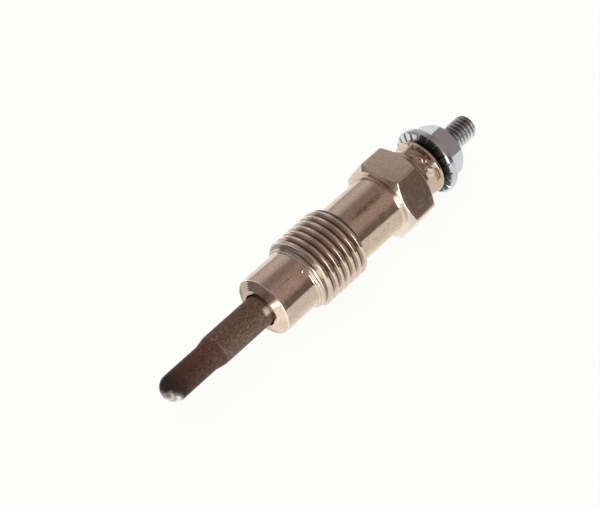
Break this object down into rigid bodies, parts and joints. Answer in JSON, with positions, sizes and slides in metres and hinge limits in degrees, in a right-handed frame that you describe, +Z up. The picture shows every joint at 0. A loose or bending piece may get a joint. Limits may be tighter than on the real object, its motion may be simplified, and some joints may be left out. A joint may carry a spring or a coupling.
{
  "type": "diesel glow plug",
  "caption": "Sheathed-element glow plug with a stepped heater tube, threaded nickel-plated shell, hexagon and a serrated flange nut on its terminal stud.",
  "frame": {"origin": "on the plug's axis, in the plane of the shell's front face, where the seat cone starts", "axes": "+X along the axis from the glowing tip to the terminal stud, +Z up, square to the hexagon's flats, with one flat downwards"},
  "size_m": [0.0681, 0.0138, 0.012],
  "materials": {
    "nickel_plated_steel": "satin nickel plate on turned steel",
    "oxidised_sheath": "heat-tinted brown alloy tube, bare steel at the tip",
    "resistance_wire": "drawn wire",
    "nickel_wire": "drawn wire",
    "magnesia": "packed matt powder",
    "seal_rubber": "matt elastomer",
    "zinc_steel_rod": "grey zinc plate on a rolled thread",
    "ring_rubber": "matt rubber",
    "phenolic": "smooth moulded phenolic",
    "zinc_steel_nut": "bright zinc plate"
  },
  "bodies": {
    "root": {"shell": "nickel_plated_steel", "glow_tube": "oxidised_sheath", "heating_coil": "resistance_wire", "control_coil": "nickel_wire", "insulating_powder": "magnesia", "tube_seal": "seal_rubber", "terminal_rod": "zinc_steel_rod", "sealing_ring": "ring_rubber", "insulating_bush": "phenolic", "flange_nut": "zinc_steel_nut"}
  },
  "joints": []
}
